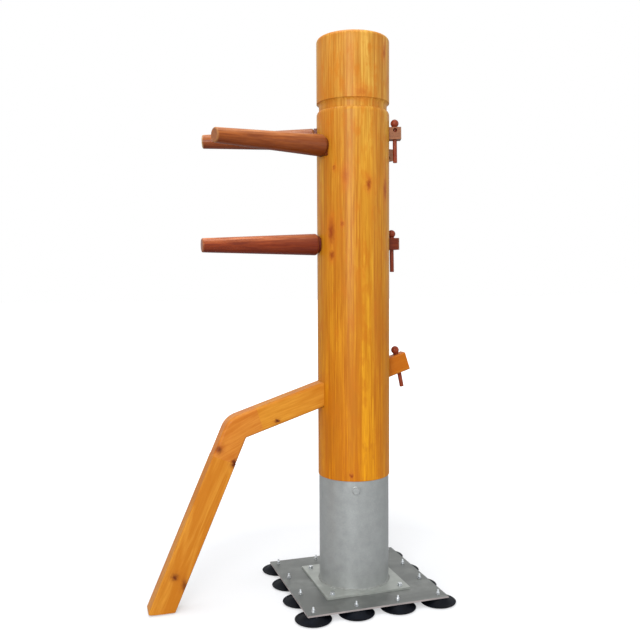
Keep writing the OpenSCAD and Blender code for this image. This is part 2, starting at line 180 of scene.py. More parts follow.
def blended(tree, amount, first, second, how="MIX"):
    mix = add(tree, "ShaderNodeMix", data_type="RGBA", blend_type=how, clamp_factor=True)
    for socket, value in ((mix.inputs[0], amount), (mix.inputs[6], first), (mix.inputs[7], second)):
        if isinstance(value, bpy.types.NodeSocket):
            tree.links.new(value, socket)
        else:
            socket.default_value = value
    return mix.outputs[2]


def ramp(tree, value, stops):
    """A colour ramp through (position, hex colour) stops."""
    node = add(tree, "ShaderNodeValToRGB", {0: value})
    bar = node.color_ramp
    while len(bar.elements) < len(stops):
        bar.elements.new(0.5)
    for element, (position, colour) in zip(bar.elements, stops):
        element.position, element.color = position, linear(colour)
    return node.outputs[0]


def sums(tree, how, first, second):
    return add(tree, "ShaderNodeMath", {0: first, 1: second}, operation=how).outputs[0]


def lacquered(tree, colour, height, shine, grain_depth, coat=0.09):
    """Clear lacquer over wood: a satin base under a thin coat that follows the grain a little."""
    bump = add(tree, "ShaderNodeBump", {"Strength": 0.25, "Distance": grain_depth, "Height": height})
    wood = add(tree, "ShaderNodeBsdfPrincipled", {"Base Color": colour, "Roughness": 0.5, "IOR": 1.5,
                                                  "Specular IOR Level": 0.12, "Coat Weight": coat,
                                                  "Coat Roughness": shine, "Coat IOR": 1.5,
                                                  "Normal": bump.outputs[0]})
    add(tree, "ShaderNodeOutputMaterial", {"Surface": wood.outputs[0]})


def on_trunk(turn, height, depth=0.0):
    """A point of the trunk's surface: turn in degrees from +X towards +Y."""
    a = math.radians(turn)
    return ((TRUNK_R - depth) * math.cos(a), (TRUNK_R - depth) * math.sin(a), height)


# Knots: turn in degrees, height, width and length in metres, how dark
TRUNK_KNOTS = [(-50, 1.312, 0.005, 0.007, 0.75), (5, 1.260, 0.009, 0.016, 0.8), (-32, 1.286, 0.010, 0.020, 0.3),
               (-56, 1.120, 0.011, 0.036, 0.8), (-37, 1.142, 0.006, 0.008, 0.5), (-55, 1.051, 0.010, 0.013, 0.75),
               (40, 1.247, 0.010, 0.030, 0.6), (-24, 0.384, 0.006, 0.007, 0.95), (-95, 0.545, 0.005, 0.007, 0.8),
               (-96, 0.498, 0.005, 0.006, 0.7), (-5, 1.528, 0.020, 0.014, 0.22), (37, 1.656, 0.006, 0.020, 0.5),
               (75, 1.01, 0.012, 0.020, 0.8), (108, 1.33, 0.014, 0.018, 0.8), (150, 0.82, 0.012, 0.022, 0.8),
               (203, 1.52, 0.013, 0.017, 0.8), (188, 0.55, 0.015, 0.020, 0.8), (-128, 0.74, 0.014, 0.022, 0.8),
               (118, 0.47, 0.012, 0.016, 0.8), (-150, 1.30, 0.011, 0.015, 0.7)]

stave_pine = bpy.data.materials.new("lacquered_glued_pine")
stave_pine.use_nodes = True
tree = stave_pine.node_tree
tree.nodes.clear()
place = add(tree, "ShaderNodeTexCoord").outputs["Object"]
apart = add(tree, "ShaderNodeSeparateXYZ", {0: place})
turn = sums(tree, "ARCTAN2", apart.outputs[1], apart.outputs[0])
stave_at = sums(tree, "MULTIPLY", turn, STAVES / (2 * math.pi))
stave = sums(tree, "FLOOR", sums(tree, "ADD", stave_at, 0.37), 0.0)
stave_tone = add(tree, "ShaderNodeTexWhiteNoise", {"W": stave}, noise_dimensions="1D")
across = sums(tree, "FRACT", sums(tree, "ADD", stave_at, 0.37), 0.0)
# Each stave takes its grain from another place in the wood
shift = add(tree, "ShaderNodeVectorMath", {0: stave_tone.outputs["Color"], 1: (3.0, 5.0, 7.0)},
            operation="MULTIPLY")
wood_at = add(tree, "ShaderNodeVectorMath", {0: place, 1: shift.outputs[0]}, operation="ADD").outputs[0]
streaks = add(tree, "ShaderNodeMapping", {0: wood_at, "Scale": (1.0, 1.0, 0.030)}).outputs[0]
rings = add(tree, "ShaderNodeTexNoise", {"Vector": streaks, "Scale": 1000 / GRAIN_MM / 2, "Detail": 5.0,
                                         "Roughness": 0.62, "Distortion": 0.25})
broad = add(tree, "ShaderNodeMapping", {0: wood_at, "Scale": (1.0, 1.0, 0.14)}).outputs[0]
clouds = add(tree, "ShaderNodeTexNoise", {"Vector": broad, "Scale": 24.0, "Detail": 3.0, "Roughness": 0.55})
# Down the trunk the colour deepens from straw to orange
height_share = add(tree, "ShaderNodeMapRange", {"Value": apart.outputs[2], "From Min": 0.36, "From Max": TRUNK_TOP})
pale = ramp(tree, height_share.outputs[0], [(0.0, "#e29a14"), (0.4, "#d79a26"), (0.72, "#d8a036"),
                                          (0.85, "#d9a84a"), (1.0, "#dcac54")])
deep = ramp(tree, height_share.outputs[0], [(0.0, "#c4760a"), (0.4, "#b97512"), (0.72, "#b87a1c"),
                                          (0.85, "#bd832c"), (1.0, "#bd8736")])
ring_share = add(tree, "ShaderNodeMapRange", {"Value": rings.outputs[0], "From Min": 0.40, "From Max": 0.62})
colour = blended(tree, ring_share.outputs[0], deep, pale)
cloud_share = add(tree, "ShaderNodeMapRange", {"Value": clouds.outputs[0], "From Min": 0.46, "From Max": 0.66,
                                               "To Min": 0.0, "To Max": 0.8})
colour = blended(tree, cloud_share.outputs[0], colour, linear("#c07a1a"))
tone = ramp(tree, stave_tone.outputs["Value"], [(0.0, "#ead6b8"), (0.3, "#f3e9d8"), (0.65, "#fdfdf2"),
                                                (1.0, "#fdf4e0")])
colour = blended(tree, 1.0, colour, tone, "MULTIPLY")
# Blotches where the lacquer lies thicker
blotch = add(tree, "ShaderNodeTexNoise", {"Vector": add(tree, "ShaderNodeMapping", {0: wood_at, "Scale": (1.0, 1.0, 0.45)}).outputs[0],
                                          "Scale": 38.0, "Detail": 3.0, "Roughness": 0.6}).outputs[0]
blotch_share = add(tree, "ShaderNodeMapRange", {"Value": blotch, "From Min": 0.50, "From Max": 0.66, "To Max": 0.6}).outputs[0]
colour = blended(tree, blotch_share, colour, linear("#bb6c10"))
# Knots have ragged rims
ragged = add(tree, "ShaderNodeTexNoise", {"Vector": place, "Scale": 90.0, "Detail": 3.0}).outputs["Color"]
ragged = add(tree, "ShaderNodeVectorMath", {0: ragged, 1: (0.5, 0.5, 0.5)}, operation="SUBTRACT").outputs[0]
knot_place = add(tree, "ShaderNodeVectorMath", {0: ragged, 1: (0.014, 0.014, 0.026), 2: place},
                 operation="MULTIPLY_ADD").outputs[0]
knot_core, knot_halo = 0.0, 0.0
for knot_turn, height, width, length, dark in TRUNK_KNOTS:
    at = on_trunk(knot_turn, height)
    core = sums(tree, "MULTIPLY", spot(tree, knot_place, at, (1.5 * width, 1.5 * width, 1.5 * length)), dark)
    halo = spot(tree, knot_place, at, (2.4 * width, 2.4 * width, 3.2 * length))
    knot_core = sums(tree, "MAXIMUM", knot_core, core)
    knot_halo = sums(tree, "MAXIMUM", knot_halo, halo)
colour = blended(tree, sums(tree, "MULTIPLY", knot_halo, 0.55), colour, linear("#c2661a"))
colour = blended(tree, sums(tree, "MULTIPLY", knot_core, 1.2), colour, linear("#8a3806"))
# The sawn top shows each stave's growth rings on end
pith = add(tree, "ShaderNodeVectorMath", {0: stave_tone.outputs["Color"], 1: (0.5, 0.5, 0.5)}, operation="SUBTRACT").outputs[0]
pith = add(tree, "ShaderNodeVectorMath", {0: pith, 1: (0.5, 0.5, 0.0), 2: place}, operation="MULTIPLY_ADD").outputs[0]
end_rings = add(tree, "ShaderNodeTexWave", {"Vector": pith, "Scale": END_RINGS, "Distortion": 3.0, "Detail": 2.0,
                                            "Detail Scale": 0.4}, wave_type="RINGS", rings_direction="Z").outputs["Fac"]
end_grain = ramp(tree, end_rings, [(0.1, "#b4772c"), (0.55, "#bf853a"), (0.9, "#c69146")])
facing = add(tree, "ShaderNodeSeparateXYZ", {0: add(tree, "ShaderNodeTexCoord").outputs["Normal"]}).outputs[2]
on_end = add(tree, "ShaderNodeMapRange", {"Value": facing, "From Min": 0.8, "From Max": 0.92}).outputs[0]
high_up = sums(tree, "GREATER_THAN", apart.outputs[2], TRUNK_TOP - 0.02)
colour = blended(tree, sums(tree, "MULTIPLY", on_end, high_up), colour, end_grain)
# A hair of darker glue between the staves
edge = sums(tree, "ABSOLUTE", sums(tree, "SUBTRACT", across, 0.5), 0.0)
seam = add(tree, "ShaderNodeMapRange", {"Value": edge, "From Min": 0.48, "From Max": 0.5, "To Max": 0.35})
colour = blended(tree, seam.outputs[0], colour, linear("#9a5a16"))
lacquered(tree, colour, rings.outputs[0], 0.22, 0.0004)
nodes["trunk"].data.materials.clear()
nodes["trunk"].data.materials.append(stave_pine)



# ---- Sleeve, flange and weld: a length of steel pipe welded upright on a square plate, painted together.
# The paint is satin aluminium grey over mill steel, a little uneven, so it gives a soft sheen with no reflections.
def grey_paint(name, base, light, dark, metal, gloss, mottle_mm, band_mm=0.0, edge=None):
    """Satin metallic paint: fine speckle, soft mottling, broad darker bands painted in as the shade and reflections of
    a wavy sheet, and a painted highlight on the faces that stand on edge.
    """
    made = bpy.data.materials.new(name)
    made.use_nodes = True
    tree = made.node_tree
    tree.nodes.clear()
    place = add(tree, "ShaderNodeTexCoord").outputs["Object"]
    mottle = add(tree, "ShaderNodeTexNoise", {"Vector": place, "Scale": 1000 / mottle_mm, "Detail": 4.0,
                                              "Roughness": 0.6}).outputs[0]
    speckle = add(tree, "ShaderNodeTexNoise", {"Vector": place, "Scale": 420.0, "Detail": 2.0}).outputs[0]
    share = add(tree, "ShaderNodeMapRange", {"Value": mottle, "From Min": 0.32, "From Max": 0.68}).outputs[0]
    colour = blended(tree, share, linear(dark), linear(light))
    fleck = add(tree, "ShaderNodeMapRange", {"Value": speckle, "From Min": 0.35, "From Max": 0.7,
                                             "To Min": 0.0, "To Max": 0.45}).outputs[0]
    colour = blended(tree, fleck, colour, linear(base))
    rough = add(tree, "ShaderNodeMapRange", {"Value": mottle, "From Min": 0.3, "From Max": 0.7,
                                             "To Min": gloss - 0.05, "To Max": gloss + 0.06}).outputs[0]
    # Painted shade and reflection: broad darker bands, as on a wavy sheet
    if band_mm:
        painted_band_place = add(tree, "ShaderNodeMapping", {0: place, "Scale": (1.0, 0.28, 1.0),
                                                "Rotation": (0, 0, math.radians(24))}).outputs[0]
        bands = add(tree, "ShaderNodeTexNoise", {"Vector": painted_band_place, "Scale": 1000 / band_mm, "Detail": 2.0,
                                                 "Distortion": 0.6}).outputs[0]
        band_share = add(tree, "ShaderNodeMapRange", {"Value": bands, "From Min": 0.4, "From Max": 0.64,
                                                      "To Max": 0.75}).outputs[0]
        colour = blended(tree, band_share, colour, linear(dark))
    # Painted highlight: faces that stand on edge take the lighter edge colour
    if edge:
        facing = add(tree, "ShaderNodeSeparateXYZ", {0: add(tree, "ShaderNodeTexCoord").outputs["Normal"]}).outputs[2]
        edge_highlight_mask = sums(tree, "LESS_THAN", facing, 0.5)
        colour = blended(tree, edge_highlight_mask, colour, linear(edge))
    bump = add(tree, "ShaderNodeBump", {"Strength": 0.12, "Distance": 0.0003, "Height": speckle})
    paint = add(tree, "ShaderNodeBsdfPrincipled", {"Base Color": colour, "Metallic": metal, "Roughness": rough,
                                                   "Normal": bump.outputs[0]})
    add(tree, "ShaderNodeOutputMaterial", {"Surface": paint.outputs[0]})
    return made


def dressed(node, material, edge_mm=0.0, smooth_deg=30):
    """The CAD piece itself, with its material and its sharp edges broken."""
    piece = nodes[node]
    piece.data.materials.clear()
    piece.data.materials.append(material)
    if edge_mm:
        bevel = piece.modifiers.new("broken edges", "BEVEL")
        bevel.width, bevel.segments, bevel.limit_method = edge_mm / 1000, 2, "ANGLE"
        bevel.angle_limit = math.radians(smooth_deg)
    return piece


sleeve_paint = grey_paint("satin_grey_sleeve_paint", "#8a8d8c", "#a6a9a8", "#9a9d9c", 0.45, 0.42, 26.0)
dressed("sleeve_pipe", sleeve_paint)
# The flange gets the painted bands of shade and reflection too
dressed("pipe_flange", grey_paint("satin_grey_flange_paint", "#a2a6a1", "#acb0ab", "#969a95", 0.4, 0.42, 22.0, 90.0))

PIPE_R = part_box("sleeve_pipe")[1].x
FLANGE_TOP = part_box("pipe_flange")[1].z
WELD_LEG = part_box("pipe_weld")[1].x - PIPE_R
WELD_STEP = 0.0034          # from one ripple of the bead to the next


def ring_mesh(name, rows, around, point):
    """A closed band of rows x around quads; point(row, turn) gives each corner."""
    verts = [point(row, 2 * math.pi * i / around) for row in range(rows) for i in range(around)]
    faces = [(row * around + i, row * around + (i + 1) % around,
              (row + 1) * around + (i + 1) % around, (row + 1) * around + i)
             for row in range(rows - 1) for i in range(around)]
    mesh = bpy.data.meshes.new(name)
    mesh.from_pydata(verts, [], faces)
    return mesh


def standing(name, mesh, body, material, slot, *replaced, smooth=True):
    """A new piece on the scene that rides on its body and stands for CAD nodes."""
    mesh.materials.append(material)
    for face in mesh.polygons:
        face.use_smooth = smooth
    made = bpy.data.objects.new(name, mesh)
    scene.collection.objects.link(made)
    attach(made, body)
    if replaced:
        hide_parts(*replaced)
    return made


WELD_ROWS = 7
ripples = round(2 * math.pi * PIPE_R / WELD_STEP)


def weld_point(row, turn):
    # A bead's section runs from the pipe down to the plate, and bulges by its ripples
    share = row / (WELD_ROWS - 1)
    lift = math.sin(math.pi * share)
    ripple = 0.00035 * lift * abs(math.sin(ripples * turn / 2))
    wander = 0.0003 * lift * math.sin(9 * turn) * math.sin(23 * turn + 1)
    out = PIPE_R + share * WELD_LEG - 0.0003 * lift + 0.6 * ripple + wander - 0.0004
    up = FLANGE_TOP + (1 - share) * WELD_LEG - 0.0003 * lift + 0.6 * ripple + wander - 0.0004
    return (out * math.cos(turn), out * math.sin(turn), max(up, FLANGE_TOP - 0.0004))


# The bead's grey is darker than the sleeve's: painted shade in the crease at the pipe's foot
weld_paint_and_shade = grey_paint("weld_bead_paint_and_shade", "#868986", "#8e918e", "#6a6d69", 0.3, 0.55, 5.0)
bead = standing("weld_bead", ring_mesh("weld_bead", WELD_ROWS, 4 * ripples, weld_point), "stand", weld_paint_and_shade,
                "grey_paint", "pipe_weld")

# Drops of spatter beside the bead, as (x, y, radius), each a low dome stuck to the flange
SPATTER = [(0.0633, -0.0975, 0.0016), (0.0829, -0.0863, 0.0013), (0.0858, -0.0727, 0.0020), (0.0912, -0.1060, 0.0015),
           (0.0760, -0.0935, 0.0011), (0.0701, -0.0902, 0.0017), (-0.0880, 0.0850, 0.0015), (0.0350, 0.1190, 0.0013)]
bm = bmesh.new()
bm.from_mesh(bead.data)
for x, y, drop in SPATTER:
    bmesh.ops.create_icosphere(bm, subdivisions=2, radius=drop,
                               matrix=Matrix.Translation((x, y, FLANGE_TOP)) @ Matrix.Diagonal((1, 1, 0.6, 1)))
bm.to_mesh(bead.data)
bm.free()
# The drops are lighter than the flange's paint: a painted highlight for their glints
bead.data.materials.append(grey_paint("weld_spatter_painted_glint", "#c2c6c4", "#d0d4d2", "#a4a8a6", 0.4, 0.35, 5.0))
for face in bead.data.polygons:
    face.use_smooth = True
    face.material_index = int(math.hypot(face.center.x, face.center.y) > PIPE_R + WELD_LEG)


# ---- Base plate: 5 mm sheet steel, sheared square, satin grey with broad darker bands of painted shade and reflection; its sheared edges are painted lighter, a painted highlight.
plate_paint = grey_paint("satin_plate_steel", "#7a7d7a", "#858885", "#5f6260", 0.5, 0.42, 40.0, 75.0, "#b3aaa8")
dressed("base_plate", plate_paint, 0.7)


# ---- Nuts, bolts, studs and washers: zinc-plated steel, rolled threads, chamfered hexagons.
# Bright, a little uneven, with faint blue-grey patches.
def bright_zinc():
    made = bpy.data.materials.new("bright_zinc_plating")
    made.use_nodes = True
    tree = made.node_tree
    tree.nodes.clear()
    place = add(tree, "ShaderNodeTexCoord").outputs["Object"]
    cloud = add(tree, "ShaderNodeTexNoise", {"Vector": place, "Scale": 260.0, "Detail": 3.0}).outputs[0]
    colour = ramp(tree, cloud, [(0.3, "#b9bec4"), (0.7, "#dcdfe0")])
    rough = add(tree, "ShaderNodeMapRange", {"Value": cloud, "To Min": 0.2, "To Max": 0.42}).outputs[0]
    steel = add(tree, "ShaderNodeBsdfPrincipled", {"Base Color": colour, "Metallic": 1.0, "Roughness": rough})
    add(tree, "ShaderNodeOutputMaterial", {"Surface": steel.outputs[0]})
    return made


zinc = bright_zinc()
HEX_AROUND = 48


def hexagon_rows(flats, low, high, chamfer):
    """(height, greatest radius) of a chamfered hexagon's rows, from the bottom face to the top face."""
    corner = flats / math.sqrt(3)
    return [(low, flats / 2 * 0.96), (low + chamfer, corner), (high - chamfer, corner), (high, flats / 2 * 0.96)]


def hex_radius(flats, turn):
    inner = (turn + math.pi / 6) % (math.pi / 3) - math.pi / 6
    return flats / 2 / math.cos(inner)


def lathe(bm, at, rows, flats=None, hole=None, around=HEX_AROUND, twist=0.0):
    """Turns rows of (height, radius) about a vertical axis; flats cuts it to a hexagon, hole runs through it."""
    rings = []
    for height, radius in rows:
        ring = []
        for i in range(around):
            a = 2 * math.pi * i / around
            r = min(radius, hex_radius(flats, a)) if flats else radius
            ring.append(bm.verts.new((at[0] + r * math.cos(a + twist), at[1] + r * math.sin(a + twist),
                                      at[2] + height)))
        rings.append(ring)
    if hole:
        for height in (rows[-1][0], rows[0][0]):
            rings.append([bm.verts.new((at[0] + hole * math.cos(2 * math.pi * i / around + twist),
                                        at[1] + hole * math.sin(2 * math.pi * i / around + twist),
                                        at[2] + height)) for i in range(around)])
        rings.append(rings[0])
    for low, high in zip(rings, rings[1:]):
        for i in range(around):
            bm.faces.new((low[i], low[(i + 1) % around], high[(i + 1) % around], high[i]))
    if not hole:
        bm.faces.new(list(reversed(rings[0])))
        bm.faces.new(rings[-1])


def thread(bm, at, low, high, radius, pitch, around=20):
    """A rolled thread: a helical ridge on a shank, with a rounded point at its top."""
    per_turn = 5
    count = max(2, round((high - low) / pitch * per_turn))
    rings = []
    for k in range(count + 1):
        height = low + (high - low) * k / count
        taper = max(0.0, 1 - (high - height) / (0.8 * pitch))
        ring = []
        for i in range(around):
            a = 2 * math.pi * i / around
            phase = (height / pitch - i / around) % 1
            r = radius - 0.55 * pitch * abs(2 * phase - 1) - 0.5 * pitch * taper
            ring.append(bm.verts.new((at[0] + r * math.cos(a), at[1] + r * math.sin(a), at[2] + height)))
        rings.append(ring)
    for lower, upper in zip(rings, rings[1:]):
        for i in range(around):
            bm.faces.new((lower[i], lower[(i + 1) % around], upper[(i + 1) % around], upper[i]))
    bm.faces.new(list(reversed(rings[0])))
    bm.faces.new(rings[-1])


def finished(bm, name):
    bmesh.ops.recalc_face_normals(bm, faces=bm.faces)
    mesh = bpy.data.meshes.new(name)
    bm.to_mesh(mesh)
    bm.free()
    return mesh


def crisp(piece, degrees=35):
    """Smooth faces that keep their edges where they turn sharply."""
    for edge in piece.data.edges:
        edge.use_edge_sharp = False
    piece.data.set_sharp_from_angle(angle=math.radians(degrees))


PLATE_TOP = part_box("base_plate")[1].z
PLATE_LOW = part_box("base_plate")[0].z
cup_boxes = [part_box("suction_cup_%02d" % k) for k in range(1, 13)]
CUP_SPOTS = [((low.x + high.x) / 2, (low.y + high.y) / 2) for low, high in cup_boxes]
STUD_R = 0.003
STUD_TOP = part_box("cup_studs")[1].z
STUD_PITCH = 0.001
STUD_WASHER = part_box("cup_washers")
STUD_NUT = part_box("cup_nuts")
STUD_FLATS = 0.010
rng = random.Random(4)

bm = bmesh.new()
for x, y in CUP_SPOTS:
    thread(bm, (x, y, 0), PLATE_LOW - 0.004, STUD_TOP, STUD_R, STUD_PITCH)
studs = standing("cup_stud_threads", finished(bm, "cup_stud_threads"), "stand", zinc, "zinc", "cup_studs")
crisp(studs, 50)

bm = bmesh.new()
for x, y in CUP_SPOTS:
    outer = (STUD_WASHER[1].x - STUD_WASHER[0].x) / 2 - (CUP_SPOTS[-1][0] - CUP_SPOTS[0][0]) / 2
    lathe(bm, (x, y, 0), [(PLATE_TOP, outer - 0.0002), (PLATE_TOP + 0.0002, outer),
                          (STUD_WASHER[1].z - 0.0002, outer), (STUD_WASHER[1].z, outer - 0.0003)], hole=STUD_R + 1e-4)
crisp(standing("cup_stud_washers", finished(bm, "cup_stud_washers"), "stand", zinc, "zinc", "cup_washers"))

bm = bmesh.new()
for x, y in CUP_SPOTS:
    lathe(bm, (x, y, 0), hexagon_rows(STUD_FLATS, STUD_NUT[0].z, STUD_NUT[1].z, 0.0009), STUD_FLATS,
          STUD_R + 1e-4, twist=rng.uniform(0, math.pi / 3))
crisp(standing("cup_stud_nuts", finished(bm, "cup_stud_nuts"), "stand", zinc, "zinc", "cup_nuts"))

BOLT_R, BOLT_PITCH, BOLT_FLATS = 0.004, 0.00125, 0.013
bolt_low, bolt_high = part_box("flange_bolts")
washer_low, washer_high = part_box("flange_washers")
nut_low, nut_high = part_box("flange_nuts")
FLANGE_AT = (washer_high.x - 0.008)
FLANGE_SPOTS = [(i * FLANGE_AT, j * FLANGE_AT) for i in (-1, 1) for j in (-1, 1)]

bm = bmesh.new()
for x, y in FLANGE_SPOTS:
    lathe(bm, (x, y, 0), hexagon_rows(BOLT_FLATS, washer_high.z, bolt_high.z, 0.0011), BOLT_FLATS,
          twist=rng.uniform(0, math.pi / 3))
    thread(bm, (x, y, 0), bolt_low.z, washer_high.z - 0.0005, BOLT_R, BOLT_PITCH)
crisp(standing("flange_hex_bolts", finished(bm, "flange_hex_bolts"), "stand", zinc, "zinc", "flange_bolts"), 50)

bm = bmesh.new()
for x, y in FLANGE_SPOTS:
    lathe(bm, (x, y, 0), [(washer_low.z, 0.0078), (washer_low.z + 0.0002, 0.008), (washer_high.z - 0.0002, 0.008),
                          (washer_high.z, 0.0077)], hole=BOLT_R + 1e-4)
crisp(standing("flange_flat_washers", finished(bm, "flange_flat_washers"), "stand", zinc, "zinc", "flange_washers"))

bm = bmesh.new()
for x, y in FLANGE_SPOTS:
    lathe(bm, (x, y, 0), hexagon_rows(BOLT_FLATS, nut_low.z, nut_high.z, 0.0011), BOLT_FLATS, BOLT_R + 1e-4,
          twist=rng.uniform(0, math.pi / 3))
crisp(standing("flange_hex_nuts", finished(bm, "flange_hex_nuts"), "stand", zinc, "zinc", "flange_nuts"))


# ---- Suction cups: moulded black rubber, a domed disc with a step round its hub and a thin lip that curls up
# at its rim. Slightly glossy from the mould, with a bluish bloom.
def moulded_rubber():
    made = bpy.data.materials.new("moulded_black_rubber")
    made.use_nodes = True
    tree = made.node_tree
    tree.nodes.clear()
    place = add(tree, "ShaderNodeTexCoord").outputs["Object"]
    bloom = add(tree, "ShaderNodeTexNoise", {"Vector": place, "Scale": 34.0, "Detail": 4.0}).outputs[0]
    grain = add(tree, "ShaderNodeTexNoise", {"Vector": place, "Scale": 900.0, "Detail": 2.0}).outputs[0]
    colour = ramp(tree, bloom, [(0.35, "#090b10"), (0.7, "#11151d")])
    rough = add(tree, "ShaderNodeMapRange", {"Value": bloom, "From Min": 0.3, "From Max": 0.7,
                                             "To Min": 0.5, "To Max": 0.62}).outputs[0]
    bump = add(tree, "ShaderNodeBump", {"Strength": 0.1, "Distance": 0.0002, "Height": grain})
    rubber = add(tree, "ShaderNodeBsdfPrincipled", {"Base Color": colour, "Roughness": rough, "IOR": 1.52,
                                                    "Specular IOR Level": 0.07, "Normal": bump.outputs[0]})
    add(tree, "ShaderNodeOutputMaterial", {"Surface": rubber.outputs[0]})
    return made


rubber = moulded_rubber()
CUP_R = (cup_boxes[0][1].x - cup_boxes[0][0].x) / 2
CUP_HIGH = cup_boxes[0][1].z
# (radius, height) from the middle of the hollow out over the lip and up to the hub, in metres
CUP_SECTION = [(0.0, 0.0050), (0.012, 0.0048), (0.026, 0.0030), (0.037, 0.0004), (0.040, 0.0), (0.045, 0.0),
               (0.049, 0.0010), (0.0525, 0.0030), (CUP_R - 0.0003, 0.0048), (CUP_R, 0.0056),
               (CUP_R - 0.0008, 0.0063), (0.050, 0.0062), (0.046, 0.0066), (0.0405, 0.0084), (0.035, 0.0112),
               (0.031, 0.0142), (0.0285, 0.0166), (0.0265, 0.0176), (0.0245, 0.0178), (0.0235, 0.0184),
               (0.0228, CUP_HIGH - 0.0004), (0.0222, CUP_HIGH), (0.006, CUP_HIGH), (0.0, CUP_HIGH)]


def cup_mesh(name, x, y):
    around = 72
    verts, faces, rows = [], [], []
    for radius, height in CUP_SECTION:
        if radius == 0:
            verts.append((x, y, height))
            rows.append([len(verts) - 1] * around)
        else:
            rows.append(list(range(len(verts), len(verts) + around)))
            verts += [(x + radius * math.cos(2 * math.pi * i / around),
                       y + radius * math.sin(2 * math.pi * i / around), height) for i in range(around)]
    for low, high in zip(rows, rows[1:]):
        for i in range(around):
            j = (i + 1) % around
            faces.append(tuple(dict.fromkeys((low[i], low[j], high[j], high[i]))))
    mesh = bpy.data.meshes.new(name)
    mesh.from_pydata(verts, [], faces)
    return mesh


for k, (x, y) in enumerate(CUP_SPOTS, 1):
    cup = standing("rubber_cup_%02d" % k, cup_mesh("rubber_cup_%02d" % k, x, y), "stand", rubber, "cup_rubber",
                   "suction_cup_%02d" % k)
    crisp(cup, 60)


# ---- Trunk screws: three hexagon coach screws through the sleeve into the wood, painted over with it
SCREW_Z = (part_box("trunk_screws")[0].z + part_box("trunk_screws")[1].z) / 2
SCREW_FLATS, SCREW_HEAD, SCREW_TURN, SCREW_BITE = 0.021, 0.009, -16.5, 0.045
bm = bmesh.new()
for k in range(3):
    head = bmesh.new()
    lathe(head, (0, 0, 0), [(0.0001, 0.0128), (0.0016, 0.0128), (0.0022, 0.0112)], around=HEX_AROUND)
    lathe(head, (0, 0, 0), hexagon_rows(SCREW_FLATS, 0.0018, SCREW_HEAD, 0.0017), SCREW_FLATS, twist=math.pi / 6)
    lathe(head, (0, 0, 0), [(-0.006 - SCREW_BITE, 0.0068), (0.0005, 0.0068)], around=24)
    turn = math.radians(SCREW_TURN + 120 * k)
    bmesh.ops.transform(head, verts=head.verts, matrix=Matrix.Translation((0, 0, SCREW_Z))
                        @ Matrix.Rotation(turn, 4, "Z") @ Matrix.Translation((PIPE_R, 0, 0))
                        @ Matrix.Rotation(math.pi / 2, 4, "Y"))
    part = bpy.data.meshes.new("screw")
    head.to_mesh(part)
    bm.from_mesh(part)
    bpy.data.meshes.remove(part)
    head.free()
crisp(standing("sleeve_coach_screws", finished(bm, "sleeve_coach_screws"), "stand", sleeve_paint, "grey_paint",
               "trunk_screws"))


# ---- Leg: three lengths of knotty pine bar, glued end to end with dowels and lacquered; the knee block
# is cut from a redder board. Grain runs along each length, growth rings show as bands on the sides.
LEG_SLOPE = math.radians(18.1)
SHIN_LEAN = math.radians(23.4)
LEG_DEPTH, LEG_THICK, LEG_ROUND = 0.074, 0.060, 0.009
LEG_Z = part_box("sleeve_pipe")[1].z + 0.2942      # where the thigh's middle line meets the trunk's axis
THIGH_REACH, KNEE_ROUND = 0.398, 0.066
JOINT_BACK, JOINT_DOWN = 0.073, 0.100
FOOT_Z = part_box("leg_shin")[0].z
KNEE_TURN = math.pi / 2 - SHIN_LEAN - LEG_SLOPE


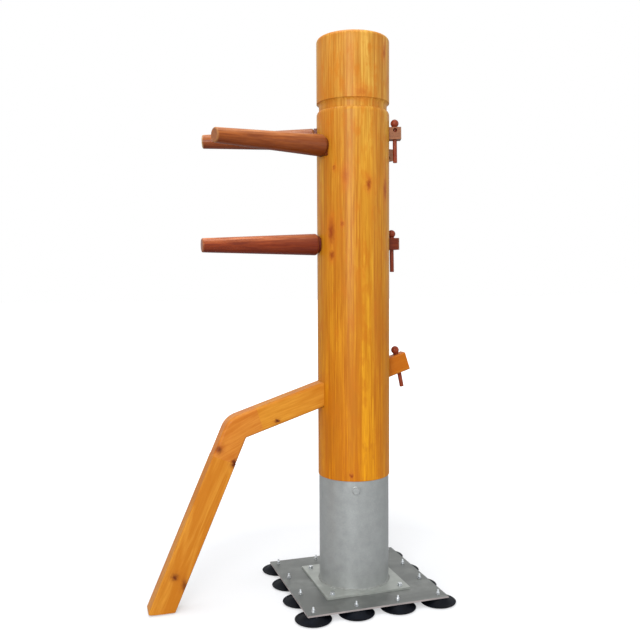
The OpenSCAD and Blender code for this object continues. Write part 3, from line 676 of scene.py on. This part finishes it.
def bar_pine(name, pale, deep, halo, slope, knots):
    """Lacquered pine bar. slope: angle of the grain below the horizontal, towards -Y."""
    made = bpy.data.materials.new(name)
    made.use_nodes = True
    tree = made.node_tree
    tree.nodes.clear()
    here = add(tree, "ShaderNodeTexCoord").outputs["Object"]
    # Grain coordinates: X across the thickness, Y across the depth, Z along the bar
    place = add(tree, "ShaderNodeMapping", {0: here, "Rotation": (math.pi / 2 - slope, 0, 0)}).outputs[0]
    along = add(tree, "ShaderNodeMapping", {0: place, "Scale": (1.0, 1.0, 0.07)}).outputs[0]
    rings = add(tree, "ShaderNodeTexNoise", {"Vector": along, "Scale": 210.0, "Detail": 5.0, "Roughness": 0.66,
                                             "Distortion": 0.3}).outputs[0]
    flow = add(tree, "ShaderNodeMapping", {0: place, "Scale": (1.0, 1.0, 0.16)}).outputs[0]
    flame = add(tree, "ShaderNodeTexNoise", {"Vector": flow, "Scale": 26.0, "Detail": 3.0,
                                             "Distortion": 0.8}).outputs[0]
    share = add(tree, "ShaderNodeMapRange", {"Value": rings, "From Min": 0.22, "From Max": 0.62}).outputs[0]
    colour = blended(tree, share, linear(deep), linear(pale))
    flame_share = add(tree, "ShaderNodeMapRange", {"Value": flame, "From Min": 0.44, "From Max": 0.60,
                                                   "To Max": 0.8}).outputs[0]
    colour = blended(tree, flame_share, colour, linear(deep))
    # The tenon behind the trunk is painted a deeper orange: painted shade on its side away from the lamps
    behind = add(tree, "ShaderNodeSeparateXYZ", {0: here}).outputs[1]
    colour = blended(tree, sums(tree, "MULTIPLY", sums(tree, "GREATER_THAN", behind, TRUNK_R - 0.005), 0.7),
                     colour, linear("#b05a08"))
    ragged = add(tree, "ShaderNodeTexNoise", {"Vector": here, "Scale": 110.0, "Detail": 3.0}).outputs["Color"]
    ragged = add(tree, "ShaderNodeVectorMath", {0: ragged, 1: (0.5, 0.5, 0.5)}, operation="SUBTRACT").outputs[0]
    ragged = add(tree, "ShaderNodeVectorMath", {0: ragged, 1: (0.014, 0.014, 0.014), 2: here},
                 operation="MULTIPLY_ADD").outputs[0]
    core, glow = 0.0, 0.0
    for at, size, dark in knots:
        core = sums(tree, "MAXIMUM", core, sums(tree, "MULTIPLY", spot(tree, ragged, at, [1.35 * s for s in size]),
                                                1.25 * dark))
        glow = sums(tree, "MAXIMUM", glow, spot(tree, ragged, at, [2.5 * s for s in size]))
    if knots:
        colour = blended(tree, sums(tree, "MULTIPLY", glow, 0.6), colour, linear(halo))
        colour = blended(tree, core, colour, linear("#5c2408"))
    lacquered(tree, colour, rings, 0.2, 0.0004)
    return made


def thigh_line(out, up=0.0, side=0.0):
    """A point along the thigh's bar, up square to it."""
    return (side, -out * math.cos(LEG_SLOPE) - up * math.sin(LEG_SLOPE),
            LEG_Z - out * math.sin(LEG_SLOPE) + up * math.cos(LEG_SLOPE))


def shin_line(down, out=0.0, side=0.0):
    """A point down the shin from the knee, out square to it towards the front."""
    angle = LEG_SLOPE + KNEE_TURN
    knee = thigh_line(THIGH_REACH)
    return (side, knee[1] - down * math.cos(angle) - out * math.sin(angle),
            knee[2] - down * math.sin(angle) + out * math.cos(angle))


HALF, FACE_X = LEG_DEPTH / 2, LEG_THICK / 2
thigh_knots = [(thigh_line(0.277, -0.023, FACE_X), (0.012, 0.008, 0.006), 0.95),
               (thigh_line(0.180, 0.030, -FACE_X), (0.012, 0.009, 0.008), 0.9)]
knee_knots = [(shin_line(0.076, 0.028, FACE_X), (0.012, 0.012, 0.012), 0.6),
              (shin_line(0.099, -0.030, FACE_X), (0.014, 0.010, 0.013), 0.95),
              (thigh_line(0.380, 0.010, -FACE_X), (0.012, 0.010, 0.009), 0.8)]
shin_knots = [(shin_line(0.466, 0.006, FACE_X), (0.012, 0.011, 0.011), 0.75),
              (shin_line(0.482, -0.031, FACE_X), (0.012, 0.009, 0.020), 0.6),
              (shin_line(0.103, -0.032, FACE_X), (0.014, 0.010, 0.010), 0.9),
              (shin_line(0.250, 0.022, -FACE_X), (0.012, 0.010, 0.013), 0.8)]
thigh_pine = bar_pine("lacquered_pine_thigh", "#cf8c2c", "#ba6e12", "#a05410", LEG_SLOPE, thigh_knots)
knee_pine = bar_pine("lacquered_pine_knee_block", "#cb8230", "#b86618", "#a04a12", LEG_SLOPE + KNEE_TURN / 6,
                     knee_knots)
shin_pine = bar_pine("lacquered_pine_shin", "#d08c2e", "#b96c12", "#9e5212", LEG_SLOPE + KNEE_TURN, shin_knots)
dressed("leg_thigh", thigh_pine)


def curve(centre_out, centre_up, radius, start, stop, line, steps=10):
    """Points of an arc in the leg's plane, angles from the bar's own direction."""
    return [line(centre_out + radius * math.cos(start + (stop - start) * k / steps),
                 centre_up + radius * math.sin(start + (stop - start) * k / steps)) for k in range(steps + 1)]


def sawn_block(name, outline, rounded, material, *replaced):
    """A board sawn to an outline in the leg's plane, its long edges rounded over with a router."""
    bm = bmesh.new()
    sides = []
    for side in (-FACE_X, FACE_X):
        sides.append([bm.verts.new((side, y, z)) for _, y, z in outline])
    bm.faces.new(sides[0])
    bm.faces.new(list(reversed(sides[1])))
    count = len(outline)
    soft = []
    for i in range(count):
        j = (i + 1) % count
        bm.faces.new((sides[0][j], sides[0][i], sides[1][i], sides[1][j]))
        if i in rounded:
            soft += [bm.edges.get((side[i], side[j])) for side in sides]
    bmesh.ops.recalc_face_normals(bm, faces=bm.faces)
    bmesh.ops.bevel(bm, geom=soft, offset=LEG_ROUND, offset_type="OFFSET", segments=6, profile=0.5,
                    affect="EDGES", clamp_overlap=True)
    piece = standing(name, finished(bm, name), "leg", material, "leg_wood", *replaced)
    crisp(piece, 40)
    return piece


tangent = (HALF - KNEE_ROUND) * math.tan(KNEE_TURN / 2)
knee_outline = ([thigh_line(THIGH_REACH - JOINT_BACK, -HALF), thigh_line(THIGH_REACH - JOINT_BACK, HALF)]
                + curve(THIGH_REACH + tangent, HALF - KNEE_ROUND, KNEE_ROUND, math.pi / 2,
                        math.pi / 2 - KNEE_TURN, thigh_line, 12)
                + [shin_line(JOINT_DOWN, HALF), shin_line(JOINT_DOWN, -HALF),
                   thigh_line(THIGH_REACH - HALF * math.tan(KNEE_TURN / 2), -HALF)])
last = len(knee_outline) - 1
sawn_block("knee_block", knee_outline, list(range(1, last - 2)) + [last - 1, last],
           knee_pine, "leg_knee")

# The foot is sawn level and its front corner is rounded against splitting
knee_z = thigh_line(THIGH_REACH)[2]
front_foot = (knee_z - FOOT_Z) / math.cos(SHIN_LEAN) + HALF * math.tan(SHIN_LEAN)
back_foot = (knee_z - FOOT_Z) / math.cos(SHIN_LEAN) - HALF * math.tan(SHIN_LEAN)
FOOT_ROUND = 0.010
foot_front, foot_back = shin_line(front_foot, HALF), shin_line(back_foot, -HALF)
corner_up = Vector(shin_line(front_foot - FOOT_ROUND, HALF))
corner_in = Vector((0, foot_front[1] + FOOT_ROUND, FOOT_Z))
foot_corner = Vector(foot_front)
foot_arc = [tuple((1 - t) ** 2 * corner_up + 2 * t * (1 - t) * foot_corner + t * t * corner_in)
            for t in (0, 0.2, 0.4, 0.6, 0.8, 1)]
shin_outline = [shin_line(JOINT_DOWN, HALF)] + foot_arc + [foot_back, shin_line(JOINT_DOWN, -HALF)]
count = len(shin_outline)
sawn_block("shin_with_foot", shin_outline, list(range(6)) + [count - 2], shin_pine, "leg_shin")

dowel_beech = bar_pine("plain_beech_dowel", "#e3c79a", "#d2b07e", "#c09a66", LEG_SLOPE, [])
dressed("leg_dowels", dowel_beech)


# ---- Arms: three turned and tapered hardwood arms, stained and lacquered, each one piece with its square
# tenon. The grain runs to the tip; the lacquer is rubbed pale round the tips. Their tops are painted lighter (painted
# top light), their undersides and collars darker (painted shade), and the shoulder's edge pale for wear and a painted
# highlight.
ARM_DROOP = math.radians(0.8)
ARM_SPLAY = math.radians(18)


def arm_hardwood(name, pale, deep, streak_and_shade, upper, wear_and_highlight, tenon, turn, pivot, reach, tip_r):
    """turn: the arm's direction from -Y; pivot: where its axis meets the trunk's axis."""
    made = bpy.data.materials.new(name)
    made.use_nodes = True
    tree = made.node_tree
    tree.nodes.clear()
    here = add(tree, "ShaderNodeTexCoord").outputs["Object"]
    from_pivot = add(tree, "ShaderNodeVectorMath", {0: here, 1: pivot}, operation="SUBTRACT").outputs[0]
    unturned = add(tree, "ShaderNodeMapping", {0: from_pivot, "Rotation": (0, 0, -turn)}).outputs[0]
    place = add(tree, "ShaderNodeMapping", {0: unturned, "Rotation": (-ARM_DROOP, 0, 0)}).outputs[0]
    apart = add(tree, "ShaderNodeSeparateXYZ", {0: place})
    along = add(tree, "ShaderNodeMapping", {0: place, "Scale": (1.0, 0.045, 1.0)}).outputs[0]
    grain = add(tree, "ShaderNodeTexNoise", {"Vector": along, "Scale": 210.0, "Detail": 5.0,
                                             "Roughness": 0.62}).outputs[0]
    flow = add(tree, "ShaderNodeMapping", {0: place, "Scale": (1.0, 0.12, 1.0)}).outputs[0]
    figure = add(tree, "ShaderNodeTexNoise", {"Vector": flow, "Scale": 55.0, "Detail": 3.0,
                                              "Distortion": 0.5}).outputs[0]
    share = add(tree, "ShaderNodeMapRange", {"Value": grain, "From Min": 0.35, "From Max": 0.65}).outputs[0]
    colour = blended(tree, share, linear(deep), linear(pale))
    streaky = add(tree, "ShaderNodeMapRange", {"Value": figure, "From Min": 0.5, "From Max": 0.68,
                                               "To Max": 0.45}).outputs[0]
    colour = blended(tree, streaky, colour, linear(streak_and_shade))
    # The upper side is painted lighter as painted top light, and the underside darker as painted shade
    facing = add(tree, "ShaderNodeSeparateXYZ", {0: add(tree, "ShaderNodeTexCoord").outputs["Normal"]}).outputs[2]
    painted_top_light = add(tree, "ShaderNodeMapRange", {"Value": facing, "From Min": 0.1, "From Max": 0.95, "To Max": 0.78},
                  interpolation_type="SMOOTHSTEP").outputs[0]
    painted_top_light_grain = blended(tree, 0.8, linear(upper), ramp(tree, grain, [(0.36, "#b48c70"), (0.5, "#dcc4ac"), (0.62, "#ffffff")]),
                           "MULTIPLY")
    painted_top_light_grain = blended(tree, sums(tree, "MULTIPLY", streaky, 0.6), painted_top_light_grain, linear(deep))
    colour = blended(tree, painted_top_light, colour, painted_top_light_grain)
    # Painted shade: the underside blends towards the streak colour
    under = add(tree, "ShaderNodeMapRange", {"Value": facing, "From Min": 0.0, "From Max": -0.8, "To Max": 0.6}).outputs[0]
    colour = blended(tree, under, colour, linear(streak_and_shade))
    # Rubbed rim: close to the tip and far from the axis
    flat = add(tree, "ShaderNodeCombineXYZ", {0: apart.outputs[0], 2: apart.outputs[2]})
    radius = add(tree, "ShaderNodeVectorMath", {0: flat.outputs[0]}, operation="LENGTH").outputs["Value"]
    near_tip = add(tree, "ShaderNodeMapRange", {"Value": apart.outputs[1], "From Min": -reach + 0.006,
                                                "From Max": -reach + 0.0005}).outputs[0]
    rim = add(tree, "ShaderNodeMapRange", {"Value": radius, "From Min": tip_r - 0.006,
                                           "From Max": tip_r - 0.002}).outputs[0]
    rubbed = sums(tree, "MULTIPLY", near_tip, sums(tree, "ADD", sums(tree, "MULTIPLY", rim, 0.6), 0.3))
    patchy = add(tree, "ShaderNodeTexNoise", {"Vector": place, "Scale": 90.0, "Detail": 2.0}).outputs[0]
    rubbed = sums(tree, "MULTIPLY", rubbed, sums(tree, "ADD", patchy, 0.35))
    colour = blended(tree, rubbed, colour, linear(wear_and_highlight))
    # The shoulder's rounded edge gets a pale ring, for worn lacquer and a painted highlight; the collar behind it is
    # painted dark as painted shade
    edge_off = sums(tree, "ABSOLUTE", sums(tree, "ADD", apart.outputs[1], SHOULDER_AT + 0.003), 0.0)
    shoulder = add(tree, "ShaderNodeMapRange", {"Value": edge_off, "From Min": 0.0018, "From Max": 0.0002,
                                                "To Max": 0.4}).outputs[0]
    colour = blended(tree, shoulder, colour, linear(wear_and_highlight))
    # Painted shade on the collar between the shoulder and the trunk
    behind = add(tree, "ShaderNodeMapRange", {"Value": apart.outputs[1], "From Min": -SHOULDER_AT - 0.0005,
                                              "From Max": -SHOULDER_AT + 0.0005, "To Max": 0.75}).outputs[0]
    before = sums(tree, "LESS_THAN", apart.outputs[1], 0.0)
    colour = blended(tree, sums(tree, "MULTIPLY", behind, before), colour, linear(streak_and_shade))
    # Darker towards the thick end by the shoulder
    root = add(tree, "ShaderNodeMapRange", {"Value": apart.outputs[1], "From Min": -SHOULDER_AT - 0.16,
                                            "From Max": -SHOULDER_AT, "To Max": 0.45}).outputs[0]
    colour = blended(tree, sums(tree, "MULTIPLY", root, before), colour, linear(streak_and_shade))
    # The tenon behind the trunk was stained apart from the arm
    past = sums(tree, "GREATER_THAN", apart.outputs[1], TRUNK_R - 0.005)
    colour = blended(tree, sums(tree, "MULTIPLY", past, 0.5), colour, linear(tenon))
    # The square end shows its end grain, greyer than the stain
    at_end = sums(tree, "GREATER_THAN", apart.outputs[1], ARM_END - 0.004)
    colour = blended(tree, sums(tree, "MULTIPLY", at_end, sums(tree, "MULTIPLY", patchy, 0.7)), colour,
                     linear("#8c705a"))
    lacquered(tree, colour, grain, 0.2, 0.0003, 0.22)
    return made


ARM_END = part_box("arm_middle")[1].y
SHOULDER_AT = TRUNK_R + 0.008
RIM_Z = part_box("sleeve_pipe")[1].z
UPPER_Z, UPPER_RISE, MIDDLE_Z = RIM_Z + 1.0308, 0.015, RIM_Z + 0.7208
ARM_TIP_R = 0.021
dressed("arm_upper_left", arm_hardwood("stained_hardwood_left_arm", "#965020", "#7a380e", "#5a2008", "#c48450", "#ccb080", "#8a6850",
                                       -ARM_SPLAY, (0, 0, UPPER_Z + UPPER_RISE), 0.466, ARM_TIP_R))
dressed("arm_upper_right", arm_hardwood("stained_hardwood_right_arm", "#9a5220", "#7c3a0e", "#5c2208", "#c88852", "#9c6c3e", "#8a6850",
                                        ARM_SPLAY, (0, 0, UPPER_Z - UPPER_RISE), 0.482, ARM_TIP_R))
dressed("arm_middle", arm_hardwood("dark_stained_middle_arm", "#8e3c16", "#6c240a", "#501206", "#dc8a58", "#9a6038", "#4e1a0a",
                                   0.0, (0, 0, MIDDLE_Z), 0.473, ARM_TIP_R))


# ---- Pegs: turned hardwood with a ball head, stained dark red and polished; each drops through its tenon
def peg_hardwood(name, tilt):
    made = bpy.data.materials.new(name)
    made.use_nodes = True
    tree = made.node_tree
    tree.nodes.clear()
    here = add(tree, "ShaderNodeTexCoord").outputs["Object"]
    place = add(tree, "ShaderNodeMapping", {0: here, "Rotation": (tilt, 0, 0)}).outputs[0]
    along = add(tree, "ShaderNodeMapping", {0: place, "Scale": (1.0, 1.0, 0.08)}).outputs[0]
    grain = add(tree, "ShaderNodeTexNoise", {"Vector": along, "Scale": 380.0, "Detail": 4.0,
                                             "Roughness": 0.6}).outputs[0]
    colour = ramp(tree, grain, [(0.35, "#6d2814"), (0.65, "#94442a")])
    lacquered(tree, colour, grain, 0.12, 0.0002)
    return made


upright_peg = peg_hardwood("polished_dark_red_peg", 0.0)
for name in ("peg_upper_left", "peg_upper_right", "peg_middle"):
    dressed(name, upright_peg)
dressed("peg_leg", peg_hardwood("polished_dark_red_leg_peg", math.radians(11.3)))
